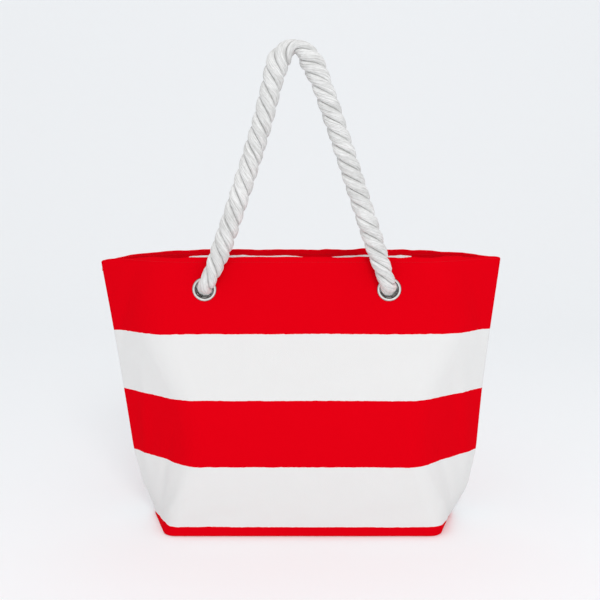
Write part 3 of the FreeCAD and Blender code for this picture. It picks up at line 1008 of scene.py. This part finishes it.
class Finish:
    """A material under construction."""

    def __init__(self, name):
        self.material = bpy.data.materials.new(name)
        self.material.use_nodes = True
        self.nodes = self.material.node_tree.nodes
        self.links = self.material.node_tree.links
        self.shader = self.nodes["Principled BSDF"]

    def add(self, kind, settings, sockets, output=0):
        """A node of a type, its settings first and then its sockets' values or links."""
        node = self.nodes.new(kind)
        for name, value in settings.items():
            setattr(node, name, value)
        for name, value in sockets.items():
            self.feed(node.inputs[name], value)
        return Signal(self, node.outputs[output])

    def feed(self, socket, value):
        """Links a signal to a socket, or sets its value."""
        if isinstance(value, Signal):
            self.links.new(value.socket, socket)
        else:
            socket.default_value = value

    def set(self, **values):
        """Shader sockets by name, with underscores for spaces."""
        for name, value in values.items():
            self.feed(self.shader.inputs[name.replace("_", " ")], value)

    def layout(self, name):
        """The two places on the flat material, in metres, and both as one vector."""
        both = self.add("ShaderNodeUVMap", {"uv_map": name}, {})
        split = self.add("ShaderNodeSeparateXYZ", {}, {0: both})
        return split, Signal(self, split.socket.node.outputs[1]), both

    def speckle(self, vector, scale, detail=2.0, roughness=0.5):
        """Noise on a vector, from 0 to 1."""
        sockets = {"Vector": vector, "Scale": scale, "Detail": detail, "Roughness": roughness}
        return self.add("ShaderNodeTexNoise", {}, sockets)

    def stretched(self, vector, factors):
        """A vector with each part scaled by its own factor."""
        return self.add("ShaderNodeVectorMath", {"operation": "MULTIPLY"}, {0: vector, 1: factors})

    def blend(self, share, low, high):
        """A colour between two colours."""
        node = self.nodes.new("ShaderNodeMix")
        node.data_type = "RGBA"
        self.feed(node.inputs[0], share)
        self.feed(node.inputs[6], low)
        self.feed(node.inputs[7], high)
        return Signal(self, node.outputs[2])

    def relief(self, height, distance, strength=1.0):
        """A bump from a height signal, fed to the shader's normal."""
        sockets = {"Height": height, "Distance": distance, "Strength": strength}
        self.set(Normal=self.add("ShaderNodeBump", {}, sockets))


# %% [markdown]
# ### Striped canvas
#
# The canvas is a plain weave, printed in broad red and white stripes. The stripes are told apart
# by the height on the flat cloth. Their edges waver by the width of a thread or two, because ink
# follows the threads. The weave is two sets of waves at right angles that take turns on top.

# %% Print and weave the canvas
RED = (0.735, 0.0, 0.0067, 1)
WHITE = (0.79, 0.79, 0.786, 1)
STRIPE_EDGES = [12.6 * MM, 90.6 * MM, 174 * MM, 254 * MM]
THREAD = 0.62 * MM


def weave(across, up, thread):
    """The height of a plain weave, from 0 to 1."""
    warp = (across * (math.pi / thread)).wave()
    weft = (up * (math.pi / thread)).wave()
    parity = warp * weft
    return (warp.size() * parity.ramp(-0.3, 0.3)) + (weft.size() * (1 - parity.ramp(-0.3, 0.3)))


def canvas_finish(name, printed):
    """Printed canvas, or plain red canvas under the base."""
    finish = Finish(name)
    across, up, both = finish.layout("cloth")
    threads = finish.speckle(finish.stretched(both, (1500, 240, 0)), 1.0, 3.0)
    blotches = finish.speckle(both, 22.0, 4.0)
    if printed:
        waver = (finish.speckle(both, 160.0, 3.0) - 0.5) * (1.5 * MM)
        slow_waver = (finish.speckle(finish.stretched(both, (1, 0.02, 0)), 14.0, 2.0) - 0.5) * (3.0 * MM)
        edge = up + waver + slow_waver
        # The boxed corners take some of the lowest stripe under the base.
        tucked = (across.size() - 0.186).ramp(0.0, 0.066) * (9.0 * MM)
        first = (edge + tucked).above(STRIPE_EDGES[0])
        second, third, fourth = (edge.above(limit) for limit in STRIPE_EDGES[1:])
        white = (first - second + third - fourth).ramp(0.0, 1.0)
    else:
        white = 0.0
    tint = (blotches - 0.5) * 0.10 + (threads - 0.5) * 0.08
    red = finish.blend((tint + 0.5).ramp(0.4, 0.6), (0.70, 0.0, 0.0052, 1), RED)
    pale = finish.blend((tint + 0.5).ramp(0.4, 0.6), (0.745, 0.745, 0.738, 1), WHITE)
    finish.set(Base_Color=finish.blend(white, red, pale))
    finish.set(Roughness=0.86 + (threads - 0.5) * 0.12)
    finish.shader.inputs["Specular IOR Level"].default_value = 0.01
    crossing = weave(across, up, THREAD)
    finish.relief(crossing * 0.7 + threads * 0.3, 0.16 * MM, 0.55)
    return finish.material


striped = canvas_finish("striped_canvas", True)
plain_red = canvas_finish("red_canvas", False)
for sheet in canvas.values():
    sheet.data.materials.append(striped)
base_canvas.data.materials.append(plain_red)
print("canvas printed")

# %% [markdown]
# ### Lining, thread, tape and board
#
# The lining has finer threads than the canvas and a soft crumple. The thread is the red of the
# rim with a faint twist. The tape is woven closely, and the board is dull pressed fibre.

# %% Finish the other cloths
def lining_finish():
    """Thin white cloth with a crumple."""
    finish = Finish("lining_cloth")
    across, up, both = finish.layout("cloth")
    crumple = finish.speckle(both, 55.0, 5.0, 0.62)
    fibres = finish.speckle(finish.stretched(both, (300, 2200, 0)), 1.0, 2.0)
    finish.set(Base_Color=finish.blend(crumple.ramp(0.3, 0.7), (0.80, 0.80, 0.785, 1), (0.86, 0.86, 0.85, 1)))
    finish.set(Roughness=0.82 + (fibres - 0.5) * 0.15)
    finish.shader.inputs["Specular IOR Level"].default_value = 0.12
    finish.relief(crumple * 0.8 + weave(across, up, 0.4 * MM) * 0.08, 1.2 * MM, 0.5)
    return finish.material


def object_finish(name, low, high, scale, roughness, bump, stretch=(1, 1, 1)):
    """A dull finish that varies with the place on the piece itself."""
    finish = Finish(name)
    place = finish.add("ShaderNodeTexCoord", {}, {}, output=3)
    grain = finish.speckle(finish.stretched(place, stretch), scale, 4.0)
    finish.set(Base_Color=finish.blend(grain.ramp(0.3, 0.7), low, high))
    finish.set(Roughness=roughness + (grain - 0.5) * 0.15)
    finish.shader.inputs["Specular IOR Level"].default_value = 0.15
    finish.relief(grain, bump, 0.6)
    return finish.material


cloth_lining = lining_finish()
for sheet in (*lining.values(), base_lining):
    sheet.data.materials.append(cloth_lining)
thread = object_finish("red_thread", (0.60, 0.001, 0.005, 1), (0.80, 0.003, 0.012, 1), 2500.0, 0.6, 0.1 * MM)
for row in stitches.values():
    row.data.materials.append(thread)
tape_cloth = object_finish(
    "tape_cloth", (0.78, 0.78, 0.76, 1), (0.88, 0.88, 0.86, 1), 700.0, 0.8, 0.3 * MM, (1, 1, 3)
)
for tape in tapes.values():
    tape.data.materials.append(tape_cloth)
board_fibre = object_finish(
    "board_fibre", (0.10, 0.10, 0.10, 1), (0.16, 0.155, 0.15, 1), 400.0, 0.75, 0.2 * MM
)
base_board.data.materials.append(board_fibre)

# %% [markdown]
# ### Cotton rope
#
# Cotton fibres run along the strands. Fine streaks in colour and height follow the rope's own
# layout, and a coarser fluff breaks them up.

# %% Finish the rope
def rope_finish():
    """Soft off-white cotton, streaked along its strands."""
    finish = Finish("cotton_rope")
    _, _, both = finish.layout("fibres")
    streaks = finish.speckle(finish.stretched(both, (560, 34, 0)), 1.0, 4.0, 0.6)
    fluff = finish.speckle(finish.stretched(both, (420, 260, 0)), 1.0, 4.0, 0.65)
    patches = finish.speckle(both, 40.0, 2.0)
    tone = streaks * 0.5 + fluff * 0.3 + patches * 0.2
    cotton_colour = finish.blend(tone.ramp(0.36, 0.62), (0.52, 0.52, 0.505, 1), (0.93, 0.93, 0.925, 1))
    # The grooves between the strands are painted darker than the crowns: painted shade, with some dust.
    groove, _, _ = finish.layout("strand")
    shade = (groove + (streaks - 0.5) * 0.12).ramp(0.86, 1.0)
    finish.set(Base_Color=finish.blend(shade * 0.75, cotton_colour, (0.42, 0.42, 0.41, 1)))
    finish.set(Roughness=0.85 + (fluff - 0.5) * 0.2)
    finish.shader.inputs["Specular IOR Level"].default_value = 0.10
    finish.relief(streaks * 0.7 + fluff * 0.3, 1.8 * MM, 0.95)
    return finish.material


cotton = rope_finish()
for rope in (front_loop, back_loop, *knots.values()):
    rope.data.materials.append(cotton)

# %% [markdown]
# ### Nickel
#
# The eyelets are bright nickel over brass. Handling leaves hair scratches round the ring, which
# make its roughness uneven, and a faint warm stain. The outer edge and the lip are painted dark:
# painted shade where the ring meets the cloth and the rope.

# %% Finish the metal
def nickel_finish():
    """Bright plated metal with fine wear, and painted shade at its outer edge and lip."""
    finish = Finish("nickel_plate")
    place = finish.add("ShaderNodeTexCoord", {}, {}, output=3)
    hairs = finish.speckle(finish.stretched(place, (900, 160, 900)), 1.0, 3.0)
    stain = finish.speckle(place, 260.0, 3.0)
    bright = finish.blend(stain.ramp(0.35, 0.75), (0.66, 0.65, 0.63, 1), (0.84, 0.83, 0.81, 1))
    radius, _, _ = finish.layout("profile")
    # Painted shade: the outer edge, where the ring meets the cloth, and the lip, where the rope comes
    # through, are painted dark.
    outer_edge_painted_shade = radius.ramp(13.7 * MM, 14.8 * MM)
    lip_painted_shade = 1 - radius.ramp(11.5 * MM, 12.5 * MM)
    painted_rim_shade = (outer_edge_painted_shade + lip_painted_shade + (stain - 0.5) * 0.3).ramp(0.0, 1.0)
    # The dark colour blended in here is painted shade.
    finish.set(Base_Color=finish.blend(painted_rim_shade * 0.85, bright, (0.10, 0.085, 0.075, 1)))
    finish.set(Roughness=0.20 + hairs * 0.16 + painted_rim_shade * 0.25)
    finish.shader.inputs["Metallic"].default_value = 1.0
    finish.relief(hairs, 0.05 * MM, 0.3)
    return finish.material


nickel = nickel_finish()
for ring in rings:
    ring.data.materials.append(nickel)
print("finishes", [material.name for material in bpy.data.materials])

# %% [markdown]
# ## Room
#
# The bag stands on a wide pale floor under an even white sky, as on a photographer's table. One
# large soft lamp above the camera, a little to its right, gives the folds and the rope their
# shape.

# %% Lay the floor and hang the lamp
SWEEP_START = 1.3
SWEEP_RADIUS = 1.4
profile = [(-7.0, 0.0), (-2.0, 0.0), (0.0, 0.0), (SWEEP_START, 0.0)]
for step in range(1, 25):
    turn = math.pi / 2 * step / 24
    sweep = (SWEEP_START + SWEEP_RADIUS * math.sin(turn), SWEEP_RADIUS * (1 - math.cos(turn)))
    profile.append(sweep)
profile.append((SWEEP_START + SWEEP_RADIUS, 3.6))
points = [(x, y, z) for y, z in profile for x in (-7, 7)]
paper_mesh = bpy.data.meshes.new("paper")
paper_faces = grid_faces(len(profile), 2, closed=False)[:, ::-1]
paper_mesh.from_pydata(points, [], [tuple(face) for face in paper_faces])
floor = add_object("floor", paper_mesh)
paper = Finish("floor_paper")
paper.set(Base_Color=(0.962, 0.978, 0.992, 1), Roughness=0.9)
paper.shader.inputs["Specular IOR Level"].default_value = 0.03
floor.data.materials.append(paper.material)

world = bpy.data.worlds.new("sky")
scene.world = world
world.use_nodes = True
sky = world.node_tree.nodes["Background"]
sky.inputs["Color"].default_value = (0.985, 0.99, 1.0, 1)
sky.inputs["Strength"].default_value = 0.825


def lamp(name, place, size, power):
    """A square soft lamp that points at the bag."""
    light = bpy.data.lights.new(name, "AREA")
    light.size = size
    light.energy = power
    item = bpy.data.objects.new(name, light)
    item.location = place
    item.rotation_euler = (Vector((0, 0, 0.25)) - Vector(place)).to_track_quat("-Z", "Y").to_euler()
    scene.collection.objects.link(item)


lamp("key", (0.3, -2.1, 1.5), 0.8, 17)
